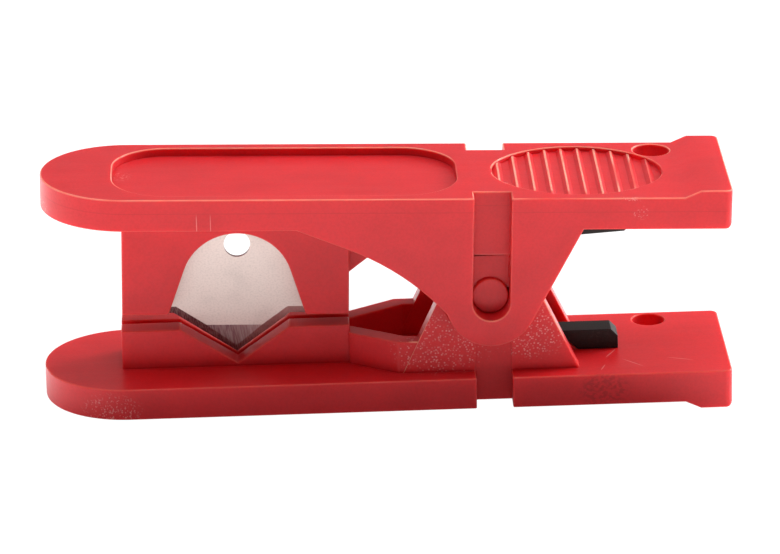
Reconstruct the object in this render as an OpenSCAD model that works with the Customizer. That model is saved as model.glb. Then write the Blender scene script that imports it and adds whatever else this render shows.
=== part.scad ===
// Hydraulic hose cutter: two moulded jaws on a snap-in pivot, a V-point blade, an anvil and a return spring.
// Each jaw is drawn about the pivot, with +X towards the handles, Y across the tool and +Z up.

/* [Jaw plates] */
// Length of each jaw plate
plate_len = 100; // [96:0.5:115]
// Width across the jaw plates
plate_w = 25; // [24.5:0.5:30]
// Thickness of the upper plate
upper_t = 4.8; // [4:0.1:6]
// Thickness of the lower plate
lower_t = 4.7; // [4:0.1:6]
// Distance of the pivot from the handle end
pivot_from_end = 34.6; // [33.5:0.1:38]
// Height of the upper plate's inner face over the pivot
upper_rise = 11.3; // [11:0.1:12.5]
// Drop of the lower plate's inner face under the pivot
lower_drop = 11.6; // [11.2:0.1:12.5]
// Angle between the jaws when the tool lies at rest
rest_angle = 1.63; // [1.5:0.01:3]
// How much farther the lower plate reaches at the handle end
lower_reach = 0.45; // [0:0.05:0.8]
// Radius of the plates' corners at the handle end, seen from above
corner_r = 1.1; // [0.5:0.1:3]
// Radius of the lower edge of each plate at the handle end
end_edge_r = 0.8; // [0.3:0.1:1.5]

/* [Handle lips] */
// Height of the lip across each handle end
lip_h = 1.05; // [0.5:0.05:2]
// Length of the lip's flat top
lip_flat = 4.6; // [3:0.1:5]
// Length of the lip's ramp
lip_ramp = 2.3; // [2:0.1:4]

/* [Hanging holes] */
// Radius of the hanging hole through the upper handle
upper_hole_r = 2.7; // [2:0.1:2.9]
// Distance of that hole's centre from the side of the tool
upper_hole_from_side = 3.6; // [3.4:0.1:3.8]
// Radius of the hanging hole through the lower handle
lower_hole_r = 2.4; // [2:0.1:2.6]
// Distance of that hole's centre from the side of the tool
lower_hole_from_side = 3; // [2.9:0.1:3.6]
// Distance of both holes' centres from the handle end
hole_from_end = 10.1; // [9.5:0.1:11]

/* [Thumb pad] */
// Length of the recess for the thumb over the blade
pad_len = 50.1; // [30:0.5:52]
// Width of the recess
pad_w = 21.2; // [18:0.2:22]
// Depth of the recess
pad_depth = 1.2; // [0.5:0.1:2]
// Corner radius of the recess
pad_corner_r = 8; // [3:0.5:8.5]
// Distance from the pivot to the recess
pad_from_pivot = 4.8; // [4:0.1:8]

/* [Finger grip] */
// Length of the oval grip
grip_len = 24.9; // [23:0.1:25.2]
// Width of the oval grip
grip_w = 21.2; // [18:0.2:21.6]
// Radius of the oval's ends
grip_end_r = 9; // [8:0.1:9.5]
// Distance from the pivot to the oval
grip_from_pivot = 0.4; // [0.2:0.1:1]
// Depth of the oval
grip_depth = 0.7; // [0.5:0.05:1.2]
// Number of ribs across the grip
rib_count = 10; // [6:1:10]
// Spacing of the ribs
rib_pitch = 2.44; // [2:0.01:2.44]
// Width of each rib at its foot
rib_w = 1.3; // [0.8:0.1:1.6]
// Height of each rib
rib_h = 0.5; // [0.3:0.05:0.65]
// How far the row of ribs is set towards the pivot
rib_shift = 0.45; // [0:0.05:0.6]

/* [Pivot] */
// Radius of the slot that the trunnions turn in
slot_r = 2.7; // [2.2:0.1:3]
// Radial play of the trunnions
trunnion_play = 0.06; // [0.02:0.01:0.1]
// Distance of the trunnions' ends from the side of the tool
trunnion_inset = 3.2; // [2.2:0.1:3.3]
// Height of the ledge over the pivot where each slot gets shallower
ledge_h = 6.4; // [6:0.1:6.5]
// Depth of the round dish in each lower ear
dish_depth = 0.6; // [0.4:0.1:1]
// Play around the upper ear's boss in that dish
dish_play = 0.3; // [0.2:0.05:0.4]
// Gap between the upper and lower ears
ear_gap = 0.15; // [0.1:0.05:0.3]

/* [Upper ears] */
// Thickness of the upper ears
upper_ear_t = 3.1; // [2.6:0.1:3.4]
// Radius of the round under the pivot
upper_ear_r = 6.6; // [6:0.1:7.5]
// Slope of the ear's edge towards the handles
upper_ear_slope = 63; // [58:1:70]
// Radius of the arch that sweeps from the ear towards the blade
arch_r = 38; // [30:0.5:45]
// Slope of the arch where it meets the ear's round
arch_end_slope = 48.5; // [46:0.5:52]
// Slope of the arch where its straight run starts
arch_start_slope = 21.5; // [18:0.5:25]
// Where the arch meets the ear's round, as an angle about the pivot
arch_meet_angle = 195.7; // [192:0.1:200]
// Width of the block at the root of each slot
block_w = 8.4; // [6.5:0.1:8.6]
// Depth of the block behind the slot
block_depth = 2.6; // [2:0.1:2.8]
// Clearance between the block and the lower ear
block_gap = 0.3; // [0.25:0.05:0.6]

/* [Lower ears] */
// Thickness of the lower ears
lower_ear_t = 2.75; // [2.2:0.05:2.9]
// Radius of the round over the pivot
lower_ear_r = 6.7; // [6.5:0.05:6.75]
// Slope of the lower ears' edges
lower_ear_slope = 64.7; // [63:0.1:67]
// Depth of the band that runs down from each trunnion
band_depth = 0.2; // [0.1:0.05:0.4]
// Width of that band and of the notch in the plate under it
band_w = 5.3; // [4.5:0.1:6]
// Distance of the band's middle from the pivot
band_x = 0.3; // [0:0.05:0.4]
// Thickness of the walls that flare from the anvil to the ears
wall_t = 2.5; // [1.8:0.1:3]
// Height of those walls over the plate
wall_h = 4.8; // [3:0.1:5]
// Setback of the walls from the lower ears' outer face
wall_setback = 0.15; // [0.1:0.05:0.8]
// Distance from the pivot to the corner of those walls
wall_knee = 13.6; // [13.3:0.1:14.5]
// How far those walls stand out beside the anvil
wall_step = 0.55; // [0.2:0.05:1]

/* [Blade] */
// Distance of the blade's point from the pivot
blade_x = 36.75; // [36:0.05:38]
// Width of the blade
blade_w = 20.2; // [19:0.1:21]
// Thickness of the blade
blade_t = 0.6; // [0.4:0.05:0.8]
// Height of the blade's top edge over the pivot
blade_top = 9; // [8.6:0.1:9.5]
// Drop of the blade's shoulders under the pivot
blade_shoulder = 5.85; // [5.5:0.05:6]
// Drop of the blade's point under the pivot
point_drop = 11.85; // [11:0.05:12]
// Reach of the point's edge towards the nose
point_nose_half = 9.3; // [8.5:0.1:9.5]
// Reach of the point's edge towards the handles
point_handle_half = 7.8; // [7:0.1:9]
// Width of the ground bevels
bevel_w = 1.1; // [0.6:0.1:1.6]
// Drop from the pivot to the top of the facet at the point
facet_drop = 7.65; // [7.2:0.05:8.4]
// Slope of the facet
facet_angle = 1.5; // [0.5:0.1:2]
// Radius of the blade's hole
blade_hole_r = 1.95; // [1.5:0.05:2.2]
// Height of the blade's hole over the pivot
blade_hole_z = 4.95; // [4.4:0.05:5.4]
// Play on each face of the blade in its pocket
blade_play = 0.05; // [0.02:0.01:0.15]

/* [Blade holder] */
// Length of the blade holder
holder_len = 33.2; // [30:0.2:34]
// Thickness of the holder and of the anvil
holder_t = 8; // [6:0.5:9]
// Distance from the pivot to the holder and the anvil
holder_from_pivot = 20.4; // [19.8:0.1:20.8]
// Drop of the holder's lower face under the pivot
holder_drop = 4.7; // [4.2:0.05:4.75]
// Radius of the window's arch
window_r = 8.15; // [7.8:0.05:8.5]
// Height of the arch's centre over the holder's lower face
window_centre_h = 4.45; // [3.6:0.05:4.6]
// Width of the window at its foot
window_w = 20.1; // [19.4:0.1:21]
// Thickness of the gusset behind the holder
gusset_t = 3; // [2:0.1:4]
// Height of the gusset's foot over the pivot
gusset_foot = 0.9; // [0:0.1:2]
// Slope of the gusset
gusset_slope = 39; // [36:1:50]

/* [Anvil] */
// Length of the anvil
anvil_len = 33.5; // [30:0.1:34]
// Height of the anvil over the lower plate
anvil_h = 5.85; // [5.5:0.05:5.9]
// Reach of the hose groove towards the nose
groove_nose_half = 8.35; // [7.5:0.05:9]
// Reach of the hose groove towards the handles
groove_handle_half = 7.65; // [7:0.05:9]
// Distance of the hose groove's bottom from the pivot
groove_x = 36.95; // [36.5:0.05:37.5]
// Depth of the hose groove
groove_depth = 5.4; // [4.5:0.05:5.45]
// Width of the slit that the blade enters
slit_w = 1.2; // [1:0.1:2]
// Depth of the slit in the lower plate
slit_depth = 1.4; // [1.3:0.1:2]

/* [Return spring] */
// Width of the spring
spring_w = 3.9; // [2.5:0.1:5.5]
// Thickness of the spring's arms
spring_t = 1.5; // [1:0.1:1.8]
// Inner radius of the spring's bend
bend_r = 7.1; // [6.8:0.05:7.2]
// Distance from the pivot to the centre of the bend
bend_x = 1.5; // [1.3:0.1:2.5]
// Distance from the pivot to the foot on the lower plate
foot_from_pivot = 13.2; // [13:0.1:14.5]
// Length of that foot
foot_len = 5.9; // [4.5:0.1:6.5]
// Thickness of both feet
foot_t = 3; // [2.6:0.05:3.1]
// Slope of the shoulder behind each foot
foot_shoulder = 43; // [35:1:60]
// Size of the chamfer on each foot
foot_chamfer = 1; // [0.5:0.1:1.4]
// How much farther the upper arm reaches
upper_reach = 1.2; // [0:0.1:2]
// How much longer the upper foot is
upper_foot_extra = 1.3; // [0:0.1:1.6]
// Angle between the arms when the tool lies at rest
spread_angle = 3.4; // [3:0.1:4.5]
// Gap over the upper foot at rest
foot_gap = 0.08; // [0.05:0.01:0.3]
// Height of the stops that keep the feet in place
stop_h = 1; // [0.6:0.1:1.2]
// Length of the stops
stop_len = 1.6; // [1.4:0.1:2.5]
// Clearance between the stops and the feet
stop_gap = 0.15; // [0.1:0.05:0.4]
// Width of the seat under the upper plate
seat_w = 6; // [5:0.5:10]

/* [Hidden] */
$fn = 96;

// How deep joined shapes reach into each other, and how far cuts run past a face
bite = 0.5;
cut_over = 2;
// How much farther from the pivot the anvil stands than the blade holder
anvil_offset = 0.05;
// How far the flaring walls start inside the anvil
wall_lap = 0.15;

end_x = pivot_from_end;
nose_x = pivot_from_end - plate_len;
side_y = plate_w / 2;
upper_top = upper_rise + upper_t;
lower_bottom = lower_drop + lower_t;
slot_floor_y = side_y - upper_ear_t;
lower_ear_y = slot_floor_y - ear_gap;
block_bottom = lower_ear_r + block_gap;
boss_y = slot_floor_y - dish_depth;
lower_end_x = end_x + lower_reach;
anvil_from_pivot = holder_from_pivot + anvil_offset;
pocket_play = 0.1;
bend_steps = 30;
bevel_angle = atan(blade_t / 2 / bevel_w);

// The spring's bend rests on the lower foot's thickness; the upper foot's tip sets the seat's height
bend_z = foot_t + bend_r - lower_drop;
upper_foot_len = foot_len + upper_foot_extra;
tip_reach = foot_from_pivot + upper_reach + upper_foot_len - bend_x;
tip_radius = norm([tip_reach, bend_r + foot_t]);
tip_angle = atan2(bend_r + foot_t, tip_reach) + spread_angle;
tip = [bend_x + tip_radius * cos(tip_angle), bend_z + tip_radius * sin(tip_angle)];
seat_z = tip[0] * sin(rest_angle) + tip[1] * cos(rest_angle) + foot_gap;
heel_radius = norm([foot_from_pivot + upper_reach - bend_x, bend_r + foot_t]);
heel_angle = atan2(bend_r + foot_t, foot_from_pivot + upper_reach - bend_x) + spread_angle;
heel = [bend_x + heel_radius * cos(heel_angle), bend_z + heel_radius * sin(heel_angle)];
upper_stop_x = heel[0] * cos(rest_angle) - heel[1] * sin(rest_angle) - stop_gap;
seat_margin = 2;
stop_margin = 1;

// The whole tool is centred over its own footprint and stands on its lower lip
upper_front_x = end_x * cos(rest_angle) + (upper_top + lip_h) * sin(rest_angle);
tool_front_x = max(upper_front_x, lower_end_x);
pivot_place = [-(tool_front_x + nose_x) / 2, 0, lower_bottom + lip_h];

// Draws an outline of X and Z as a solid between two places across the tool
module across(from_y, to_y) {
    translate([0, to_y, 0])
        rotate([90, 0, 0])
            linear_extrude(to_y - from_y)
                children();
}

module both_sides() {
    children();
    mirror([0, 1, 0])
        children();
}

module place_lower() {
    translate(pivot_place)
        children();
}

module place_upper() {
    translate(pivot_place)
        rotate([0, rest_angle, 0])
            children();
}

// Plate seen from above: a round nose at the blade end and small corners at the handle end
module plate_plan(handle_x) {
    translate([nose_x + side_y, 0])
        circle(r = side_y);
    translate([nose_x + side_y, -side_y])
        square([handle_x - corner_r - nose_x - side_y, plate_w]);
    translate([handle_x - 2 * corner_r, corner_r - side_y])
        square([2 * corner_r, plate_w - 2 * corner_r]);
    for (corner_y = [corner_r - side_y, side_y - corner_r])
        translate([handle_x - corner_r, corner_y])
            circle(r = corner_r);
}

// Plate seen from the side, with its lip: inner is the height of its inner face
module plate_profile(handle_x, inner, t) {
    outer = inner + t;
    polygon([
        [nose_x - bite, inner],
        [handle_x, inner],
        [handle_x, outer + lip_h],
        [handle_x - lip_flat, outer + lip_h],
        [handle_x - lip_flat - lip_ramp, outer],
        [nose_x - bite, outer]
    ]);
}

// What rounds the edge across the handle end, with the edge at the origin and the plate over it
module end_edge_cut() {
    across(-side_y - bite, side_y + bite)
        difference() {
            translate([-end_edge_r, -bite])
                square([end_edge_r + bite, end_edge_r + bite]);
            translate([-end_edge_r, end_edge_r])
                circle(r = end_edge_r);
        }
}

module jaw_plate(handle_x, inner, t) {
    intersection() {
        translate([0, 0, inner - bite])
            linear_extrude(t + lip_h + 2 * bite)
                plate_plan(handle_x);
        across(-side_y - bite, side_y + bite)
            plate_profile(handle_x, inner, t);
    }
}

module hanging_hole(hole_r, from_side, inner, t) {
    translate([end_x - hole_from_end, side_y - from_side, inner - bite])
        cylinder(r = hole_r, h = t + lip_h + 2 * bite);
}

module thumb_pad() {
    far_x = -pad_from_pivot - pad_len;
    translate([0, 0, upper_top - pad_depth])
        linear_extrude(pad_depth + cut_over) {
            translate([far_x + pad_corner_r, -pad_w / 2])
                square([pad_len - 2 * pad_corner_r, pad_w]);
            translate([far_x, pad_corner_r - pad_w / 2])
                square([pad_len, pad_w - 2 * pad_corner_r]);
            for (corner_x = [far_x + pad_corner_r, -pad_from_pivot - pad_corner_r])
                for (corner_y = [pad_corner_r - pad_w / 2, pad_w / 2 - pad_corner_r])
                    translate([corner_x, corner_y])
                        circle(r = pad_corner_r);
        }
}

// Oval of four arcs that run smoothly into each other
module grip_oval() {
    end_centre = grip_len / 2 - grip_end_r;
    rise = grip_w / 2 - grip_end_r;
    side_centre = (end_centre * end_centre - rise * rise) / (2 * rise);
    side_r = side_centre + grip_w / 2;
    strip = end_centre * side_r / (side_r - grip_end_r);
    for (x = [-end_centre, end_centre])
        translate([x, 0])
            circle(r = grip_end_r);
    intersection() {
        translate([0, side_centre])
            circle(r = side_r);
        translate([0, -side_centre])
            circle(r = side_r);
        square([2 * strip, grip_w + cut_over], center = true);
    }
}

module grip_ribs() {
    for (i = [0:rib_count - 1])
        translate([(i - (rib_count - 1) / 2) * rib_pitch - rib_shift, 0, 0])
            across(-grip_w, grip_w)
                polygon([
                    [-rib_w / 2 - rib_w, -rib_h * 2],
                    [0, rib_h],
                    [rib_w / 2 + rib_w, -rib_h * 2]
                ]);
}

// Oval pocket, less the ribs that stand on its floor
module finger_grip(outer) {
    translate([grip_from_pivot + grip_len / 2, 0, outer - grip_depth])
        difference() {
            linear_extrude(grip_depth + cut_over)
                grip_oval();
            grip_ribs();
        }
}

// Upper ear: a round under the pivot, a straight edge towards the handles and a long arch towards the blade
module upper_ear_outline() {
    meet = upper_ear_r * [cos(arch_meet_angle), sin(arch_meet_angle)];
    arch_centre = meet - arch_r * [sin(arch_end_slope), cos(arch_end_slope)];
    start = arch_centre + arch_r * [sin(arch_start_slope), cos(arch_start_slope)];
    root_z = upper_rise + bite;
    edge_foot = upper_ear_r * [sin(upper_ear_slope), -cos(upper_ear_slope)];
    circle(r = upper_ear_r);
    difference() {
        polygon([
            [start[0] - (root_z - start[1]) / tan(arch_start_slope), root_z],
            start,
            meet * 1.5,
            [0, 0],
            edge_foot,
            [edge_foot[0] + (root_z - edge_foot[1]) / tan(upper_ear_slope), root_z]
        ]);
        translate(arch_centre)
            circle(r = arch_r);
    }
}

// Slot around each trunnion: it goes through the ear up to the ledge, and runs up the side of the plate
module trunnion_slot() {
    across(boss_y - bite, side_y + cut_over) {
        circle(r = slot_r);
        translate([-slot_r, 0])
            square([2 * slot_r, ledge_h]);
    }
    across(slot_floor_y, side_y + cut_over)
        translate([-slot_r, 0])
            square([2 * slot_r, upper_top + cut_over]);
}

// Round boss inside each upper ear, which turns in the lower ear's dish
module ear_boss() {
    across(boss_y, slot_floor_y + bite)
        circle(r = upper_ear_r);
}

// Block at the root of each slot, with a lip down to the ledge in front of the lower ear
module slot_block() {
    translate([-block_w / 2, slot_floor_y - block_depth, block_bottom])
        cube([block_w, block_depth + bite, upper_rise + bite - block_bottom]);
    translate([-block_w / 2, boss_y, ledge_h])
        cube([block_w, dish_depth + bite, block_bottom + bite - ledge_h]);
}

module blade_holder() {
    translate([-holder_from_pivot - holder_len, -holder_t / 2, -holder_drop])
        cube([holder_len, holder_t, holder_drop + upper_rise + bite]);
}

// Window in the holder: a round arch with straight flanks down to its foot
module holder_window() {
    foot = [window_w / 2, -window_centre_h];
    touch_angle = atan2(foot[1], foot[0]) + acos(window_r / norm(foot));
    touch = window_r * [cos(touch_angle), sin(touch_angle)];
    below = foot + (foot - touch) * 0.2;
    translate([-blade_x, 0, window_centre_h - holder_drop])
        across(-holder_t, holder_t) {
            circle(r = window_r);
            polygon([below, touch, [-touch[0], touch[1]], [-below[0], below[1]]]);
        }
}

// Rib that carries the holder's load up to the plate
module holder_gusset() {
    root_x = (upper_rise - gusset_foot) / tan(gusset_slope) - holder_from_pivot;
    across(-gusset_t / 2, gusset_t / 2)
        polygon([
            [-holder_from_pivot - bite, gusset_foot],
            [-holder_from_pivot, gusset_foot],
            [root_x, upper_rise],
            [root_x, upper_rise + bite],
            [-holder_from_pivot - bite, upper_rise + bite]
        ]);
}

module blade_pocket() {
    pocket_w = blade_w + 2 * pocket_play;
    pocket_t = blade_t + 2 * blade_play;
    translate([-blade_x - pocket_w / 2, -pocket_t / 2, -holder_drop - cut_over])
        cube([pocket_w, pocket_t, holder_drop + cut_over + blade_top]);
}

// Stop behind a spring foot, with its slope matched to the foot's shoulder; it rises from z = 0
module spring_stop(heel_x) {
    across(-spring_w / 2, spring_w / 2)
        polygon([
            [heel_x - stop_len, -bite],
            [heel_x, -bite],
            [heel_x, 0],
            [heel_x - stop_h / tan(foot_shoulder), stop_h],
            [heel_x - stop_len, stop_h]
        ]);
}

// Seat under the upper plate that the spring's upper foot presses on
module spring_seat() {
    seat_start_x = upper_stop_x - stop_len - stop_margin;
    translate([seat_start_x, -seat_w / 2, seat_z])
        cube([tip[0] + seat_margin - seat_start_x, seat_w, upper_rise + bite - seat_z]);
    translate([0, 0, seat_z])
        mirror([0, 0, 1])
            spring_stop(upper_stop_x);
}

module upper_jaw() {
    color("#d8343b")
        place_upper()
            difference() {
                union() {
                    jaw_plate(end_x, upper_rise, upper_t);
                    blade_holder();
                    holder_gusset();
                    spring_seat();
                    both_sides() {
                        across(slot_floor_y, side_y)
                            upper_ear_outline();
                        ear_boss();
                        slot_block();
                    }
                }
                both_sides()
                    trunnion_slot();
                translate([end_x, 0, upper_rise])
                    end_edge_cut();
                thumb_pad();
                finger_grip(upper_top);
                hanging_hole(upper_hole_r, upper_hole_from_side, upper_rise, upper_t);
                holder_window();
                blade_pocket();
            }
}

// Lower ear: straight edges that run up as tangents to the round over the pivot
module lower_ear_outline() {
    base_half = lower_ear_r / sin(lower_ear_slope) + (lower_drop + bite) / tan(lower_ear_slope);
    touch = lower_ear_r * [sin(lower_ear_slope), cos(lower_ear_slope)];
    circle(r = lower_ear_r);
    polygon([
        [-base_half, -lower_drop - bite],
        [base_half, -lower_drop - bite],
        touch,
        [-touch[0], touch[1]]
    ]);
}

// Lower ear with the round dish in its outer face, and the trunnion that stands in the dish
module lower_ear() {
    difference() {
        across(lower_ear_y - lower_ear_t, lower_ear_y)
            lower_ear_outline();
        across(lower_ear_y - dish_depth, lower_ear_y + cut_over)
            circle(r = upper_ear_r + dish_play);
    }
    across(lower_ear_y - lower_ear_t, side_y - trunnion_inset)
        circle(r = slot_r - trunnion_play);
}

// Notch in the side of the lower plate, which runs on as a shallow band up the ear
module ear_band() {
    band_y = lower_ear_y - band_depth;
    translate([band_x - band_w / 2, band_y, -lower_bottom - lip_h - cut_over])
        cube([band_w, side_y - band_y + cut_over, lower_bottom + lip_h + cut_over - slot_r - bite]);
}

module anvil() {
    translate([-anvil_from_pivot - anvil_len, -holder_t / 2, -lower_drop - bite])
        cube([anvil_len, holder_t, anvil_h + bite]);
}

module hose_groove() {
    rise = groove_depth + cut_over;
    widening = rise / groove_depth;
    translate([-groove_x, 0, anvil_h - lower_drop - groove_depth])
        across(-holder_t, holder_t)
            polygon([
                [0, 0],
                [groove_handle_half * widening, rise],
                [-groove_nose_half * widening, rise]
            ]);
}

// Slit along the whole anvil
module blade_slit() {
    translate([-anvil_from_pivot - anvil_len, -slit_w / 2, -lower_drop - slit_depth])
        cube([anvil_len, slit_w, slit_depth + anvil_h + cut_over]);
}

// Wall that flares from the anvil's side out to its corner, then runs along to the ear
module flaring_wall() {
    outer_y = lower_ear_y - wall_setback;
    anvil_y = holder_t / 2;
    start_x = -anvil_from_pivot - wall_lap;
    ear_x = lower_ear_r / sin(lower_ear_slope);
    translate([0, 0, -lower_drop - bite])
        linear_extrude(wall_h + bite)
            polygon([
                [start_x, anvil_y + wall_step],
                [-wall_knee, outer_y],
                [-ear_x, outer_y],
                [-ear_x, outer_y - wall_t],
                [-wall_knee + wall_t / 2, outer_y - wall_t],
                [-anvil_from_pivot, anvil_y - wall_t],
                [start_x, anvil_y - wall_t]
            ]);
}

module lower_jaw() {
    color("#c22f35")
        place_lower()
            difference() {
                union() {
                    mirror([0, 0, 1])
                        jaw_plate(lower_end_x, lower_drop, lower_t);
                    anvil();
                    both_sides() {
                        lower_ear();
                        flaring_wall();
                    }
                    translate([0, 0, -lower_drop])
                        spring_stop(foot_from_pivot - stop_gap);
                }
                both_sides()
                    ear_band();
                translate([lower_end_x, 0, -lower_bottom - lip_h])
                    end_edge_cut();
                hose_groove();
                blade_slit();
                mirror([0, 0, 1]) {
                    finger_grip(lower_bottom);
                    hanging_hole(lower_hole_r, lower_hole_from_side, lower_drop, lower_t);
                }
            }
}

module blade_outline() {
    polygon([
        [-blade_w / 2, blade_top],
        [-blade_w / 2, -blade_shoulder],
        [-point_nose_half, -blade_shoulder],
        [0, -point_drop],
        [point_handle_half, -blade_shoulder],
        [blade_w / 2, -blade_shoulder],
        [blade_w / 2, blade_top]
    ]);
}

// Takes off what lies outside a ground face that starts at an edge on the blade's middle plane
module grind(angle) {
    rotate([angle, 0, 0])
        translate([-blade_w, 0, -blade_w])
            cube([2 * blade_w, blade_w, 2 * blade_w]);
}

// Bevels along the shoulders and along the point's two edges, then a thin facet over the point
module ground_faces() {
    point_rise = point_drop - blade_shoulder;
    slopes = [atan(point_rise / point_nose_half), -atan(point_rise / point_handle_half)];
    intersection() {
        translate([0, 0, -blade_shoulder])
            grind(-bevel_angle);
        for (slope = slopes)
            translate([0, 0, -point_drop])
                rotate([0, slope, 0])
                    grind(-bevel_angle);
    }
    translate([0, blade_t / 2, -facet_drop])
        grind(-facet_angle);
}

module blade() {
    color("#c9bab6")
        place_upper()
            translate([-blade_x, 0, 0])
                difference() {
                    across(-blade_t / 2, blade_t / 2)
                        blade_outline();
                    across(-blade_t, blade_t)
                        translate([0, blade_hole_z])
                            circle(r = blade_hole_r);
                    both_sides()
                        ground_faces();
                }
}

// Arm below the bend's centre: its inner face, the chamfered foot, the shoulder and its outer face
function arm_points(heel_x, foot) = [
    [heel_x + foot - foot_chamfer, -bend_r],
    [heel_x + foot, -bend_r - foot_chamfer],
    [heel_x + foot, -bend_r - foot_t],
    [heel_x, -bend_r - foot_t],
    [heel_x - (foot_t - spring_t) / tan(foot_shoulder), -bend_r - spring_t]
];

// Such an arm mirrored over the bend's centre and turned up by the spread, with its outer face first
function upper_arm_points(points) = [
    for (i = [len(points) - 1:-1:0])
        let (p = points[i])
            [
                p[0] * cos(spread_angle) + p[1] * sin(spread_angle),
                p[0] * sin(spread_angle) - p[1] * cos(spread_angle)
            ]
];

function bend_points(r, from, to) = [
    for (i = [0:bend_steps])
        let (angle = from + (to - from) * i / bend_steps)
            r * [cos(angle), sin(angle)]
];

module spring_outline() {
    heel_x = foot_from_pivot - bend_x;
    polygon(concat(
        arm_points(heel_x, foot_len),
        bend_points(bend_r + spring_t, 270, 90 + spread_angle),
        upper_arm_points(arm_points(heel_x + upper_reach, upper_foot_len)),
        bend_points(bend_r, 90 + spread_angle, 270)
    ));
}

module return_spring() {
    color("#26211f")
        place_lower()
            across(-spring_w / 2, spring_w / 2)
                translate([bend_x, bend_z])
                    spring_outline();
}

upper_jaw();
lower_jaw();
blade();
return_spring();
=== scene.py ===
"""Dresses the hydraulic hose cutter: moulded red jaws, a ground steel blade and a black return spring."""

import math

import bmesh
import bpy
from mathutils import Matrix, Vector


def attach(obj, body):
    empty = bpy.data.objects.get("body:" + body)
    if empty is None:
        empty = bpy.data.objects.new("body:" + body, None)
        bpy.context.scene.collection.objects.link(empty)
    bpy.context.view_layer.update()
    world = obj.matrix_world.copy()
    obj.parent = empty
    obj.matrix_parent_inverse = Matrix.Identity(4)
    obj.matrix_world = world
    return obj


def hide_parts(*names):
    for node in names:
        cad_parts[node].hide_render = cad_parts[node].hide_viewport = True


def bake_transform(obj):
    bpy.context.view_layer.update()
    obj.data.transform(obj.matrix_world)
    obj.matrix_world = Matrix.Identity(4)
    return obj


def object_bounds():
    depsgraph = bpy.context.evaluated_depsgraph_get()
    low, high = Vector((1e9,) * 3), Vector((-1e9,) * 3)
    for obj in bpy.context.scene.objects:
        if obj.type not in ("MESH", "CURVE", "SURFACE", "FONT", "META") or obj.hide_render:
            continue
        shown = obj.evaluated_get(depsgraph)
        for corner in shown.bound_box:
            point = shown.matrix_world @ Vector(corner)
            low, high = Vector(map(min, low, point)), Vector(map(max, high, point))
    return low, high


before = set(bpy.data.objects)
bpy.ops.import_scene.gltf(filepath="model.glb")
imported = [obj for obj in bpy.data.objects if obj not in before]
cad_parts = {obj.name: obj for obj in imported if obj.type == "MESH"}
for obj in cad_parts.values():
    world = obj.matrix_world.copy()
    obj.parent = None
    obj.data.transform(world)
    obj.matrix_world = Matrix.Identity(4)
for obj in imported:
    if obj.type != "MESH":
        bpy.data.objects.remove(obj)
CAD_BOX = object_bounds()

bl_info = {
    "name": "Hose Cutter",
    "version": (1, 0, 0),
    "blender": (4, 5, 0),
    "location": "View3D > Sidebar > Hose Cutter",
    "description": "Builds a hydraulic hose cutter with moulded jaws, a ground blade and a return spring",
    "category": "Add Mesh",
}

MM = 0.001

UPPER_BODY = "upper"
LOWER_BODY = "lower"

# Edges nearer to the middle than this lie in the blade's pocket, and stay sharp
POCKET_HALF = 0.45 * MM

# How near two corners of a CAD mesh are merged, and how flat two of its faces are joined
MERGE_DISTANCE = 0.002 * MM
JOIN_ANGLE = math.radians(0.5)
# Angles between faces: of a flat, of a corner that gets rounded, and of a line where the shading breaks
FLAT_ANGLE = math.radians(1)
CORNER_ANGLE = math.radians(25)
BREAK_ANGLE = math.radians(35)
# Share of the room beside an edge that its rounding may take, and the places along it that are measured
ROOM_SHARE = 0.45
ROOM_STEPS = (0.001, 0.25, 0.5, 0.75, 0.999)

# Faces of rounded edges keep their painted highlight in this attribute, and the modifier marks them by this
# slot
EDGE_HIGHLIGHT_LAYER = "rounded_edge"
BODY_SLOT = 0
ROUNDING_SLOT = 1
# How strong a highlight is painted on each jaw's rounded edges, weaker on the lower jaw, and the share of it
# on edges that don't face up to the light
UPPER_HIGHLIGHT = 1
LOWER_HIGHLIGHT = 0.3
SIDE_HIGHLIGHT = 0.12
# How many times its painted highlight a glinting edge has in addition, and what a dimmed edge keeps of it
GLINT_EXTRA = 9
DIMMED_HIGHLIGHT_SHARE = 0.25
# How pale the brightest painted highlight is
EDGE_HIGHLIGHT_STRENGTH = 0.75

# Marks on the plastic: each an ellipsoid's centre and sizes in millimetres, and its turn in degrees if any
FLECKED = (
    ((8, -9.25, 10), (9.5, 2.9, 5.6)),
    ((20.5, -9.25, 11.5), (7, 2.9, 5)),
)
# Where the highlight painted on the edges glints brighter, on the lower ears
GLINTING_EDGES = (
    ((4.8, -9.25, 10.5), (1.7, 1.6, 10), (0, 22, 0)),
    ((23.7, -9.25, 14.8), (1.5, 1.6, 6), (0, -26, 0)),
)
# Where the highlight painted on the edges is dimmed
DIMMED_HIGHLIGHT_EDGES = (
    ((37.5, -1, 33), (6.5, 8.5, 3)),
    ((10.4, -1.5, 33), (3.4, 9, 3)),
    ((24, -10.5, 33), (9, 3, 3)),
)
RUBBED_AND_SHEEN = (
    # The first place, on the lower nose, is also painted sheen: its pale speckle stands for brighter sheen
    # spots as well as scuffing
    ((-40.5, -11.5, 2.5), (5.5, 4, 3.2)),
    ((35.5, -12.5, 32.9), (2.6, 0.8, 0.7)),
    ((36.9, -12.5, 30.6), (1.4, 0.8, 1.2)),
    ((-49.3, -3, 31), (1.2, 4, 2)),
    ((38.6, 0, 33.4), (1.3, 2.2, 1.2)),
    ((-38, 1.5, 34), (1.8, 2.4, 1.2)),
)
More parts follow.
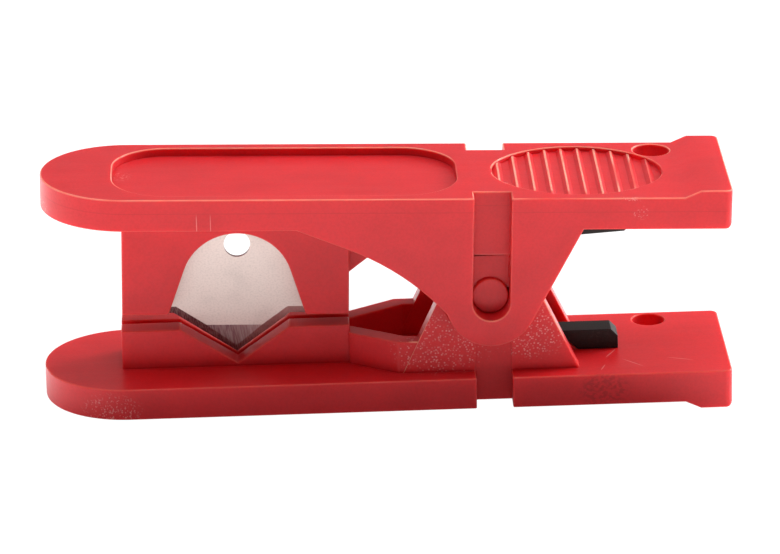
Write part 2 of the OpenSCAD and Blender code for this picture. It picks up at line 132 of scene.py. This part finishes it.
# A darker blotchy patch on the lower front, towards its right end
DARKER_PATCH = (
    ((31.5, -12.5, 3.4), (4.5, 1.5, 3.2)),
)
SCUFFS = (
    ((33, -4, 5.75), (2.2, 0.12, 0.4), (0, 0, 62)),
    ((36, -8, 5.75), (2.6, 0.1, 0.4), (0, 0, -48)),
    ((31.5, -9.5, 5.75), (1.4, 0.1, 0.4), (0, 0, 70)),
    ((43, -7, 5.75), (2.4, 0.1, 0.4), (0, 0, -20)),
    ((-27.1, -12.5, 30.7), (0.08, 0.4, 2.1)),
    ((-25.1, -12.5, 30.7), (0.06, 0.4, 2.1)),
)
# How far out in its ellipsoid a mark starts to fade
MARK_CORE = 0.55

# Direction across the upper plate, and the height along it at which the mould parts, in millimetres
PARTING = (0.02846, 0, 1)
PARTING_LEVEL = 31.78
# Distances from that height at which the parting line ends, and at which it is full
PARTING_LINE = (0.12, 0.03)

# Sizes of the patterns in the finishes along X, Y and Z, in millimetres
NYLON_CLOUD = (9, 9, 7)
NYLON_FLOW = (14, 1.6, 1.1)
FLECK_CELLS = (0.38, 0.38, 0.34)
RUBBED_AND_SHEEN_GRAIN = (0.28, 0.28, 0.28)
DARKER_PATCH_GRAIN = (0.6, 0.6, 0.5)
# Noise that breaks up the highlight painted on the edges
EDGE_HIGHLIGHT_NOISE = (2.5, 1.2, 1.2)
STEEL_MOTTLE = (0.3, 0.3, 0.25)
STEEL_CLOUD = (5, 5, 4)
# A grinding mark's length over its width, and its lean in degrees
MARK_STRETCH = 14
MARK_LEAN = 8
# Along X in millimetres, the places between which the ground bevel turns from painted shade to painted light
BEVEL_LIGHT_FROM = -25
BEVEL_LIGHT_TO = -13

# Least and most roughness of each finish
NYLON_ROUGHNESS = (0.3, 0.42)
STEEL_ROUGHNESS = (0.48, 0.62)
ACETAL_ROUGHNESS = (0.42, 0.6)

# Settings of a Map Range node whose factor starts and ends softly
SOFTLY = {"interpolation_type": "SMOOTHSTEP"}

BLACK = (0, 0, 0, 1)
WHITE = (1, 1, 1, 1)

# Point on the near side that the camera looks at, and the camera's sensor and reach
VIEW_CENTRE = Vector((0.53, -12.5, 21.99)) * MM
SENSOR_WIDTH = 36
VIEW_REACH = 10

# Half the floor's size, and how far below the tool its two sheets of paper lie
FLOOR_REACH = 3
PAPER_GAP = 0.1 * MM
GLARE_GAP = 0.2 * MM
# Centre and sizes in millimetres of the soft shadow painted into the paper's glow, and where it starts and
# ends
SHADOW_CENTRE = (-2, 0, 0)
SHADOW_SIZES = (51, 42, 10)
SHADOW_EDGE = (0.85, 1.2)
# Glow of the paper in its painted shadow and outside it, and of the room's dim and bright sides
PAPER_GLOW = (0.3, 2.1)
ROOM_GLOW = (0.08, 0.36)
# Direction of the room's bright side, and where along it the room goes from dim to bright
BRIGHT_SIDE = (0.6, 0.8, 0)
ROOM_EDGE = (-0.8, 0.3)

# Each soft light's name, place, aim and size in metres, and its power in watts
SOFT_LIGHTS = (
    ("top_light", (-0.02, 0.04, 0.5), (0, 0, 0.02), (0.9, 0.36), 2.2),
    ("right_light", (0.3, 0.12, 0.14), (0.04, 0, 0.01), (0.2, 0.2), 1.3),
)


def linear(hex_colour):
    """An sRGB hex colour as linear red, green, blue and alpha."""
    parts = [int(hex_colour[i:i + 2], 16) / 255 for i in (1, 3, 5)]
    return tuple(p / 12.92 if p <= 0.04045 else ((p + 0.055) / 1.055) ** 2.4 for p in parts) + (1.0,)


def tinted(colour_value, shares):
    """A linear colour with its red, green and blue taken times the given shares, to 1 at most."""
    return tuple(min(1, c * share) for c, share in zip(colour_value[:3], shares)) + (1.0,)


def colour(name, description, hex_colour):
    """A colour that a user can change."""
    return bpy.props.FloatVectorProperty(
        name=name, description=description, subtype="COLOR", size=4, min=0, max=1,
        default=linear(hex_colour),
    )


def length(name, description, millimetres):
    """A length that a user can change."""
    return bpy.props.FloatProperty(
        name=name, description=description, unit="LENGTH", min=0, default=millimetres * MM, precision=5
    )


def angle(name, description, degrees):
    """An angle that a user can change."""
    return bpy.props.FloatProperty(
        name=name, description=description, unit="ROTATION", default=math.radians(degrees)
    )


class HoseCutterJaws(bpy.types.PropertyGroup):
    """Sizes and colours of the two moulded jaws."""

    red: colour("Plastic", "Colour of the moulded plastic", "#DE2A31")
    deep_red: colour("Deep plastic", "Colour where the plastic is thicker", "#C22227")
    streak: colour("Streaks", "Colour of the silver streaks left by moulding", "#F0A6A2")
    # The colour of the highlight painted on the rounded edges
    pale_edge: colour("Pale edges", "Colour of the polished edges", "#FFB9A0")
    edge_radius: length("Edge radius", "Radius on the edges of the mouldings", 0.2)
    grain: length("Surface grain", "Size of the fine texture left by the mould", 0.35)


class HoseCutterBlade(bpy.types.PropertyGroup):
    """Sizes and colours of the steel blade."""

    steel: colour("Steel", "Colour of the ground steel", "#E9DAD3")
    grind_spacing: length("Grind spacing", "Distance between the grinding marks", 0.16)


class HoseCutterSpring(bpy.types.PropertyGroup):
    """Sizes and colours of the return spring."""

    black: colour("Plastic", "Colour of the spring's plastic", "#1C1816")
    edge_radius: length("Edge radius", "Radius on the spring's edges", 0.12)
    grain: length("Surface grain", "Size of the spring's rough texture", 0.3)


class HoseCutterStage(bpy.types.PropertyGroup):
    """The camera's place and lens."""

    elevation: angle("Elevation", "Angle by which the camera looks down at the upper jaw", 20.3)
    azimuth: angle("Azimuth", "Angle by which the camera looks past the tool's side", 2.27)
    roll: angle("Roll", "Turn of the camera about its view", 0.47)
    jaw_tilt: angle("Jaw tilt", "Slope of the upper jaw, which is level in the camera's view", 1.63)
    distance: length("Distance", "Distance of the camera from the near side", 732.19)
    focal_length: bpy.props.FloatProperty(
        name="Focal length", description="Focal length in millimetres on a 36 mm sensor", min=1,
        default=234.07,
    )


def add_node(tree, kind, values=None, out=0, **settings):
    """Adds a node with its settings, its sockets' values and its links, and gives one of its outputs."""
    new = tree.nodes.new(kind)
    for name, value in settings.items():
        setattr(new, name, value)
    for socket, value in (values or {}).items():
        if isinstance(value, bpy.types.NodeSocket):
            tree.links.new(value, new.inputs[socket])
        else:
            new.inputs[socket].default_value = value
    return new.outputs[out]


def new_material(name):
    """An empty node material with its shader, and the object's own coordinates in millimetres."""
    material = bpy.data.materials.new(name)
    material.use_nodes = True
    tree = material.node_tree
    shader = tree.nodes["Principled BSDF"]
    metres = add_node(tree, "ShaderNodeTexCoord", out="Object")
    place = add_node(tree, "ShaderNodeVectorMath", {0: metres, 3: 1 / MM}, operation="SCALE")
    return material, tree, shader, place


def reach(tree, place, centre, sizes, turn=(0, 0, 0)):
    """How far out a place is in an ellipsoid, given in millimetres and degrees: 1 is on its skin."""
    turns = tuple(math.radians(degrees) for degrees in turn)
    local = add_node(
        tree, "ShaderNodeMapping",
        {"Vector": place, "Location": centre, "Rotation": turns, "Scale": sizes}, vector_type="TEXTURE",
    )
    return add_node(tree, "ShaderNodeVectorMath", {0: local}, "Value", operation="LENGTH")


def weighed(tree, *parts):
    """Factors times their weights, added up, to 1 at most."""
    total = 0
    for factor, weight in parts:
        values = {0: factor, 1: weight, 2: total}
        total = add_node(tree, "ShaderNodeMath", values, operation="MULTIPLY_ADD", use_clamp=True)
    return total


def painted(tree, base, *coats):
    """A base colour with more colours laid over it, each by its factor."""
    for factor, coat in coats:
        base = add_node(tree, "ShaderNodeMix", {0: factor, 6: base, 7: coat}, 2, data_type="RGBA")
    return base


def marked(tree, place, marks):
    """A factor that is 1 inside each of the marks and fades out at its rim."""
    patches = []
    for mark in marks:
        values = {"Value": reach(tree, place, *mark), "From Min": 1, "From Max": MARK_CORE}
        patches.append((add_node(tree, "ShaderNodeMapRange", values, **SOFTLY), 1))
    return weighed(tree, *patches)


def noise(tree, place, sizes, detail=2):
    """Noise whose grain has the given sizes in millimetres along X, Y and Z."""
    grain = add_node(tree, "ShaderNodeMapping", {"Vector": place, "Scale": sizes}, vector_type="TEXTURE")
    return add_node(tree, "ShaderNodeTexNoise", {"Vector": grain, "Scale": 1, "Detail": detail})


def blotches(tree, place, sizes, low, high, detail=2):
    """A factor that is 1 in the noise's blotches above high, and 0 where it is below low."""
    values = {"Value": noise(tree, place, sizes, detail), "From Min": low, "From Max": high}
    return add_node(tree, "ShaderNodeMapRange", values, **SOFTLY)


def nylon_flecks(tree, place):
    """Pale flecks on the ears of the lower jaw, where the melt met."""
    local = add_node(
        tree, "ShaderNodeMapping", {"Vector": place, "Scale": FLECK_CELLS}, vector_type="TEXTURE"
    )
    from_seed = add_node(tree, "ShaderNodeTexVoronoi", {"Vector": local, "Scale": 1}, "Distance")
    dots = add_node(
        tree, "ShaderNodeMapRange", {"Value": from_seed, "From Min": 0.46, "From Max": 0.2}, **SOFTLY
    )
    own_tone = from_seed.node.outputs["Color"]
    strength = add_node(
        tree, "ShaderNodeMapRange", {"Value": own_tone, "From Min": 0.42, "From Max": 0.8}, **SOFTLY
    )
    return weighed(tree, (weighed(tree, (dots, strength)), marked(tree, place, FLECKED)))


def nylon_parting_line(tree, place):
    """The line where the mould parts, halfway up the sides of the upper plate."""
    level = add_node(tree, "ShaderNodeVectorMath", {0: place, 1: PARTING}, "Value", operation="DOT_PRODUCT")
    above = add_node(tree, "ShaderNodeMath", {0: level, 1: PARTING_LEVEL}, operation="SUBTRACT")
    away = add_node(tree, "ShaderNodeMath", {0: above}, operation="ABSOLUTE")
    outer, inner = PARTING_LINE
    values = {"Value": away, "From Min": outer, "From Max": inner}
    return add_node(tree, "ShaderNodeMapRange", values, **SOFTLY)


def nylon_edges(tree, place):
    """The highlight painted on the rounded edges: more on the lower ears' edges, and little at some rims."""
    highlight = add_node(tree, "ShaderNodeAttribute", out="Fac", attribute_name=EDGE_HIGHLIGHT_LAYER)
    extra = add_node(tree, "ShaderNodeMath", {0: highlight, 1: GLINT_EXTRA}, operation="MULTIPLY")
    kept = add_node(
        tree, "ShaderNodeMapRange",
        {"Value": marked(tree, place, DIMMED_HIGHLIGHT_EDGES), "To Min": 1, "To Max": DIMMED_HIGHLIGHT_SHARE},
    )
    edge = weighed(tree, (weighed(tree, (highlight, 1), (extra, marked(tree, place, GLINTING_EDGES))), kept))
    uneven = weighed(tree, (0.55, 1), (noise(tree, place, EDGE_HIGHLIGHT_NOISE), 0.6))
    return weighed(tree, (weighed(tree, (edge, uneven)), EDGE_HIGHLIGHT_STRENGTH))


def moulded_red_plastic(jaws):
    """Glass-filled nylon, injection moulded: satin gloss, a fine grain, flecks and scuffs, with painted
    highlights on the edges and painted sheen on the lower nose.
    """
    material, tree, shader, place = new_material("moulded_red_plastic")
    grain = noise(tree, place, (jaws.grain / MM,) * 3)
    speckle = add_node(
        tree, "ShaderNodeMapRange", {"Value": grain, "From Min": 0.35, "From Max": 0.7}, **SOFTLY
    )
    shade = weighed(tree, (blotches(tree, place, NYLON_CLOUD, 0.35, 0.7), 0.3), (speckle, 0.25))

    # Straight scuffs and places scuffed by rubbing, at the corners that touch a bench or another tool; on
    # the lower nose that pale speckle is also painted sheen
    rubbed_and_sheen = weighed(
        tree, (marked(tree, place, RUBBED_AND_SHEEN), blotches(tree, place, RUBBED_AND_SHEEN_GRAIN, 0.58, 0.68, 1))
    )
    scuffs = marked(tree, place, SCUFFS)
    worn_and_sheen = weighed(tree, (rubbed_and_sheen, 0.55), (scuffs, 0.6), (nylon_flecks(tree, place), 0.9))
    # A darker blotchy patch, mixed towards a near black red
    darker_patch = weighed(
        tree, (marked(tree, place, DARKER_PATCH), blotches(tree, place, DARKER_PATCH_GRAIN, 0.42, 0.62, 3))
    )
    base = painted(
        tree, jaws.red,
        (shade, jaws.deep_red),
        (weighed(tree, (nylon_parting_line(tree, place), 0.45)), jaws.deep_red),
        # Painted highlight on the rounded edges
        (nylon_edges(tree, place), jaws.pale_edge),
        (worn_and_sheen, jaws.streak),
        (weighed(tree, (darker_patch, 0.3)), tinted(jaws.deep_red, (0.3, 0.3, 0.3))),
    )
    tree.links.new(base, shader.inputs["Base Color"])

    # The flow of the melt leaves broad soft streaks in the gloss
    flow = noise(tree, place, NYLON_FLOW)
    least, most = NYLON_ROUGHNESS
    gloss = add_node(tree, "ShaderNodeMapRange", {"Value": flow, "To Min": least, "To Max": most})
    tree.links.new(gloss, shader.inputs["Roughness"])
    relief = None
    for height, strength, depth in ((flow, 0.1, 0.06), (grain, 0.3, 0.02), (worn_and_sheen, 0.3, 0.03)):
        values = {"Height": height, "Strength": strength, "Distance": depth * MM}
        if relief:
            values["Normal"] = relief
        relief = add_node(tree, "ShaderNodeBump", values)
    tree.links.new(relief, shader.inputs["Normal"])

    # Nylon has an index of about 1.53, and lets light in under its surface, so that holes and ribs glow
    shader.inputs["IOR"].default_value = 1.53
    shader.inputs["Specular IOR Level"].default_value = 0.25
    shader.inputs["Subsurface Weight"].default_value = 0.8
    shader.inputs["Subsurface Radius"].default_value = (1.0, 0.2, 0.16)
    shader.inputs["Subsurface Scale"].default_value = 1.7 * MM
    return material


def ground_blade_steel(blade):
    """Carbon steel, rolled and tumbled, with ground bevels: a matt warm grey, with a dark red painted shade
    on the ground faces and a paler painted light on the bevel towards the handles.
    """
    material, tree, shader, place = new_material("ground_blade_steel")
    mottle = noise(tree, place, STEEL_MOTTLE, 4)
    mottled = add_node(
        tree, "ShaderNodeMapRange", {"Value": mottle, "From Min": 0.4, "From Max": 0.75}, **SOFTLY
    )
    tone = weighed(tree, (mottled, 0.5), (blotches(tree, place, STEEL_CLOUD, 0.45, 0.8, 3), 0.4))

    # The grinding shows on the point and its bevels, whose faces lean away from the blade's flat sides
    facing = add_node(tree, "ShaderNodeNewGeometry", out="True Normal")
    sideways = add_node(tree, "ShaderNodeSeparateXYZ", {0: facing}, "Y")
    flat = add_node(tree, "ShaderNodeMath", {0: sideways}, operation="ABSOLUTE")
    ground = add_node(
        tree, "ShaderNodeMapRange", {"Value": flat, "From Min": 0.99995, "From Max": 0.9998}, **SOFTLY
    )
    leaning = add_node(
        tree, "ShaderNodeMapping", {"Vector": place, "Rotation": (0, math.radians(MARK_LEAN), 0)}
    )
    spacing = blade.grind_spacing / MM
    marks = noise(tree, leaning, (spacing, spacing, MARK_STRETCH * spacing))
    lines = add_node(
        tree, "ShaderNodeMapRange", {"Value": marks, "From Min": 0.3, "From Max": 0.7}, **SOFTLY
    )
    hatched = weighed(tree, (0.7, 1), (lines, 0.3))

    # The ground faces get a dark red painted shade, and the bevel towards the handles a paler painted light
    along = add_node(tree, "ShaderNodeSeparateXYZ", {0: place}, "X")
    bevel_light = add_node(
        tree, "ShaderNodeMapRange", {"Value": along, "From Min": BEVEL_LIGHT_FROM, "From Max": BEVEL_LIGHT_TO}, **SOFTLY
    )
    bevel = painted(
        tree, tinted(blade.steel, (0.24, 0.12, 0.15)), (bevel_light, tinted(blade.steel, (0.78, 0.62, 0.64)))
    )
    base = painted(
        tree, blade.steel,
        (tone, tinted(blade.steel, (0.8, 0.8, 0.8))),
        (weighed(tree, (ground, hatched)), bevel),
    )
    tree.links.new(base, shader.inputs["Base Color"])
    least, most = STEEL_ROUGHNESS
    rough = add_node(tree, "ShaderNodeMapRange", {"Value": mottle, "To Min": least, "To Max": most})
    tree.links.new(rough, shader.inputs["Roughness"])
    height = weighed(tree, (mottle, 0.3), (ground, marks))
    relief = add_node(tree, "ShaderNodeBump", {"Height": height, "Strength": 0.25, "Distance": 0.02 * MM})
    tree.links.new(relief, shader.inputs["Normal"])
    shader.inputs["Metallic"].default_value = 1.0
    return material


def moulded_black_acetal(spring):
    """Acetal, injection moulded in a spark-eroded mould: near black, dull and finely pitted."""
    material, tree, shader, place = new_material("moulded_black_acetal")
    values = {"Vector": place, "Scale": MM / spring.grain, "Detail": 4, "Roughness": 0.7}
    grain = add_node(tree, "ShaderNodeTexNoise", values)
    dust = add_node(
        tree, "ShaderNodeMapRange", {"Value": grain, "From Min": 0.5, "From Max": 0.75}, **SOFTLY
    )
    base = painted(tree, spring.black, (dust, tinted(spring.black, (2.4, 2.4, 2.4))))
    tree.links.new(base, shader.inputs["Base Color"])
    least, most = ACETAL_ROUGHNESS
    rough = add_node(tree, "ShaderNodeMapRange", {"Value": grain, "To Min": least, "To Max": most})
    tree.links.new(rough, shader.inputs["Roughness"])
    relief = add_node(tree, "ShaderNodeBump", {"Height": grain, "Strength": 0.5, "Distance": 0.04 * MM})
    tree.links.new(relief, shader.inputs["Normal"])
    # Acetal has an index of about 1.48
    shader.inputs["IOR"].default_value = 1.48
    shader.inputs["Specular IOR Level"].default_value = 0.3
    return material


def material_once(make, settings):
    """The finish that a function makes, made on its first use."""
    return bpy.data.materials.get(make.__name__) or make(settings)


def merged_copy(node, name):
    """A copy of a CAD node, and its shape with the loose triangles merged into whole faces."""
    piece = bpy.data.objects.new(name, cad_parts[node].data.copy())
    bpy.context.scene.collection.objects.link(piece)
    shape = bmesh.new()
    shape.from_mesh(piece.data)
    bmesh.ops.remove_doubles(shape, verts=shape.verts, dist=MERGE_DISTANCE)
    bmesh.ops.dissolve_limit(
        shape, angle_limit=JOIN_ANGLE, verts=shape.verts, edges=shape.edges, delimit=set()
    )
    piece.data.materials.clear()
    return piece, shape


def is_corner(edge):
    """Whether two faces meet in a corner at the edge."""
    return edge.calc_face_angle(0) > CORNER_ANGLE


def gets_rounded(edge):
    """Whether the edge is a corner that stands out, and not one in the blade's pocket."""
    outside = max(abs(vertex.co.y) for vertex in edge.verts) > POCKET_HALF
    return outside and edge.is_convex and is_corner(edge)


def room_beside(edge):
    """Shortest distance across either face from the edge to the next corner."""
    room = math.inf
    for loop in edge.link_loops:
        start, end = loop.vert.co, loop.link_loop_next.vert.co
        along = (end - start).normalized()
        inward = loop.face.normal.cross(along)
        others = [
            other for other in loop.face.edges if not set(other.verts) & set(edge.verts) and is_corner(other)
        ]
        for step in ROOM_STEPS:
            point = start.lerp(end, step)
            for other in others:
                first, second = (vertex.co - point for vertex in other.verts)
                before, after = first.dot(along), second.dot(along)
                if before * after > 0 or before == after:
                    continue
                across = first.dot(inward) + (second - first).dot(inward) * before / (before - after)
                if across > 0:
                    room = min(room, across)
    return room


def round_edges(piece, shape, radius, highlight):
    """Writes the shape to the piece, rounds each corner by its own share of the radius, and gives the
    rounding a painted highlight.
    """
    share = shape.edges.layers.float.new("bevel_weight_edge")
    for edge in shape.edges:
        if gets_rounded(edge):
            edge[share] = min(1, ROOM_SHARE * room_beside(edge) / radius)
    shape.to_mesh(piece.data)
    shape.free()
    for _slot in (BODY_SLOT, ROUNDING_SLOT):
        piece.data.materials.append(None)
    rounding = piece.modifiers.new("rounded_edges", "BEVEL")
    rounding.width = radius
    rounding.segments = 3
    rounding.profile = 0.5
    rounding.limit_method = "WEIGHT"
    rounding.use_clamp_overlap = False
    rounding.material = ROUNDING_SLOT

    # The flats stay flat in the light, and only the curves and the rounded edges are shaded as round
    rounded = bmesh.new()
    rounded.from_object(piece, bpy.context.evaluated_depsgraph_get())
    piece.modifiers.clear()
    piece.data.materials.clear()
    edge_layer = rounded.faces.layers.float.new(EDGE_HIGHLIGHT_LAYER)
    for edge in rounded.edges:
        edge.smooth = edge.calc_face_angle(0) < BREAK_ANGLE
    strips = {face for face in rounded.faces if face.material_index == ROUNDING_SLOT}
    for face in rounded.faces:
        gentle = [edge for edge in face.edges if FLAT_ANGLE < edge.calc_face_angle(0) < CORNER_ANGLE]
        beside = {other for edge in gentle for other in edge.link_faces if other != face}
        face.smooth = face in strips or not beside <= strips
        # Rounded edges carry a painted highlight, stronger where they face up into the light
        facing_up = max(0, face.normal.z)
        face[edge_layer] = highlight * (SIDE_HIGHLIGHT + (1 - SIDE_HIGHLIGHT) * facing_up) if face in strips else 0
        face.material_index = BODY_SLOT
    rounded.to_mesh(piece.data)
    rounded.free()
    evened = piece.modifiers.new("even_curves", "WEIGHTED_NORMAL")
    evened.weight = 100
    evened.keep_sharp = True


class HOSECUTTER_OT_jaws(bpy.types.Operator):
    """Make the upper and the lower jaw"""

    bl_idname = "hosecutter.jaws"
    bl_label = "Jaws"

    def execute(self, context):
        jaws = context.scene.hose_cutter_jaws
        plastic = material_once(moulded_red_plastic, jaws)
        rows = (("upper_jaw", UPPER_BODY, UPPER_HIGHLIGHT), ("lower_jaw", LOWER_BODY, LOWER_HIGHLIGHT))
        for node, body, highlight in rows:
            piece, shape = merged_copy(node, node + "_moulding")
            round_edges(piece, shape, jaws.edge_radius, highlight)
            piece.data.materials.append(plastic)
            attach(piece, body)
            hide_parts(node)
        return {"FINISHED"}


class HOSECUTTER_OT_blade(bpy.types.Operator):
    """Finish the blade"""

    bl_idname = "hosecutter.blade"
    bl_label = "Blade"

    def execute(self, context):
        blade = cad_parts["blade"]
        blade.data.materials.clear()
        blade.data.materials.append(material_once(ground_blade_steel, context.scene.hose_cutter_blade))
        return {"FINISHED"}


class HOSECUTTER_OT_spring(bpy.types.Operator):
    """Make the return spring, which sits between the jaws"""

    bl_idname = "hosecutter.spring"
    bl_label = "Return spring"

    def execute(self, context):
        spring = context.scene.hose_cutter_spring
        piece, shape = merged_copy("return_spring", "return_spring_moulding")
        bmesh.ops.bevel(
            shape, geom=[edge for edge in shape.edges if is_corner(edge)], offset=spring.edge_radius,
            offset_type="OFFSET", segments=2, profile=0.5, affect="EDGES", clamp_overlap=False, material=-1,
            loop_slide=True,
        )
        shape.to_mesh(piece.data)
        shape.free()
        piece.data.shade_smooth()
        flats = piece.modifiers.new("even_flats", "WEIGHTED_NORMAL")
        flats.weight = 100
        piece.data.materials.append(material_once(moulded_black_acetal, spring))
        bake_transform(piece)
        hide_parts("return_spring")
        return {"FINISHED"}


def add_camera(stage):
    """A camera that looks at the tool's near side, with the upper jaw level in its view."""
    data = bpy.data.cameras.new("photo_camera")
    data.lens = stage.focal_length
    data.sensor_width = SENSOR_WIDTH
    data.clip_end = VIEW_REACH
    camera = bpy.data.objects.new("photo_camera", data)
    bpy.context.scene.collection.objects.link(camera)
    turn = (
        Matrix.Rotation(stage.jaw_tilt, 4, "Y")
        @ Matrix.Rotation(-stage.azimuth, 4, "Z")
        @ Matrix.Rotation(math.pi / 2 - stage.elevation, 4, "X")
        @ Matrix.Rotation(stage.roll, 4, "Z")
    )
    place = VIEW_CENTRE + turn.to_3x3() @ Vector((0, 0, stage.distance))
    camera.matrix_world = Matrix.Translation(place) @ turn
    bpy.context.scene.camera = camera


def add_light(name, place, aim, size, power):
    """A soft light at a place, aimed at a point."""
    data = bpy.data.lights.new(name, "AREA")
    data.shape = "RECTANGLE"
    data.size, data.size_y = size
    data.energy = power
    lamp = bpy.data.objects.new(name, data)
    bpy.context.scene.collection.objects.link(lamp)
    lamp.location = place
    lamp.rotation_euler = (Vector(aim) - Vector(place)).to_track_quat("-Z", "Y").to_euler()


def add_floor(name, gap, material):
    """A wide level sheet at a distance below the tool."""
    level = Matrix.Translation((0, 0, CAD_BOX[0][2] - gap))
    shape = bmesh.new()
    bmesh.ops.create_grid(shape, x_segments=1, y_segments=1, size=FLOOR_REACH, matrix=level)
    mesh = bpy.data.meshes.new(name)
    shape.to_mesh(mesh)
    shape.free()
    mesh.materials.append(material)
    floor = bpy.data.objects.new(name, mesh)
    bpy.context.scene.collection.objects.link(floor)
    return floor


def paper_with_painted_shadow():
    """Matt paper that glows as a soft lamp, with a soft shadow painted into its glow round the tool."""
    material, tree, shader, place = new_material("paper_with_painted_shadow")
    shader.inputs["Base Color"].default_value = BLACK
    shader.inputs["Roughness"].default_value = 0.9
    shader.inputs["Emission Color"].default_value = WHITE
    inner, outer = SHADOW_EDGE
    shaded, lit = PAPER_GLOW
    glow = add_node(
        tree, "ShaderNodeMapRange",
        {
            "Value": reach(tree, place, SHADOW_CENTRE, SHADOW_SIZES),
            "From Min": inner, "From Max": outer, "To Min": shaded, "To Max": lit,
        },
        **SOFTLY,
    )
    tree.links.new(glow, shader.inputs["Emission Strength"])
    return material


def overexposed_paper():
    """The white that the camera sees in place of the paper, which lights nothing."""
    material, _tree, shader, _place = new_material("overexposed_paper")
    shader.inputs["Base Color"].default_value = BLACK
    shader.inputs["Emission Color"].default_value = WHITE
    shader.inputs["Emission Strength"].default_value = 1
    return material


def studio_room():
    """A world with white walls on three sides, and a dim room on the fourth."""
    world = bpy.data.worlds.new("studio_room")
    world.use_nodes = True
    tree = world.node_tree
    way = add_node(tree, "ShaderNodeTexCoord", out="Generated")
    side = add_node(tree, "ShaderNodeVectorMath", {0: way, 1: BRIGHT_SIDE}, "Value", operation="DOT_PRODUCT")
    start, end = ROOM_EDGE
    dim, bright = ROOM_GLOW
    glow = add_node(
        tree, "ShaderNodeMapRange",
        {"Value": side, "From Min": start, "From Max": end, "To Min": dim, "To Max": bright},
    )
    background = tree.nodes["Background"]
    tree.links.new(glow, background.inputs["Strength"])
    background.inputs["Color"].default_value = WHITE
    return world


class HOSECUTTER_OT_stage(bpy.types.Operator):
    """Set up the camera, the floor and the lights"""

    bl_idname = "hosecutter.stage"
    bl_label = "Stage"

    def execute(self, context):
        add_camera(context.scene.hose_cutter_stage)
        paper = add_floor("floor", PAPER_GAP, paper_with_painted_shadow())
        paper.visible_camera = False
        glare = add_floor("floor_in_view", GLARE_GAP, overexposed_paper())
        for kind in ("diffuse", "glossy", "transmission", "shadow"):
            setattr(glare, "visible_" + kind, False)
        context.scene.world = studio_room()
        context.scene.view_settings.view_transform = "Standard"
        for row in SOFT_LIGHTS:
            add_light(*row)
        return {"FINISHED"}


class HOSECUTTER_PT_panel(bpy.types.Panel):
    """Lists the pieces of the hose cutter"""

    bl_idname = "HOSECUTTER_PT_panel"
    bl_label = "Hose Cutter"
    bl_space_type = "VIEW_3D"
    bl_region_type = "UI"
    bl_category = "Hose Cutter"

    def draw(self, context):
        for operator in OPERATORS:
            self.layout.operator(operator.bl_idname)


GROUPS = {
    "hose_cutter_jaws": HoseCutterJaws,
    "hose_cutter_blade": HoseCutterBlade,
    "hose_cutter_spring": HoseCutterSpring,
    "hose_cutter_stage": HoseCutterStage,
}
OPERATORS = (HOSECUTTER_OT_stage, HOSECUTTER_OT_jaws, HOSECUTTER_OT_blade, HOSECUTTER_OT_spring)


def register():
    for name, group in GROUPS.items():
        bpy.utils.register_class(group)
        setattr(bpy.types.Scene, name, bpy.props.PointerProperty(type=group))
    for operator in OPERATORS:
        bpy.utils.register_class(operator)
    bpy.utils.register_class(HOSECUTTER_PT_panel)


def unregister():
    bpy.utils.unregister_class(HOSECUTTER_PT_panel)
    for operator in reversed(OPERATORS):
        bpy.utils.unregister_class(operator)
    for name, group in reversed(GROUPS.items()):
        delattr(bpy.types.Scene, name)
        bpy.utils.unregister_class(group)


def main():
    register()
    bpy.ops.hosecutter.stage()
    bpy.ops.hosecutter.jaws()
    bpy.ops.hosecutter.blade()
    bpy.ops.hosecutter.spring()


if __name__ == "__main__":
    main()
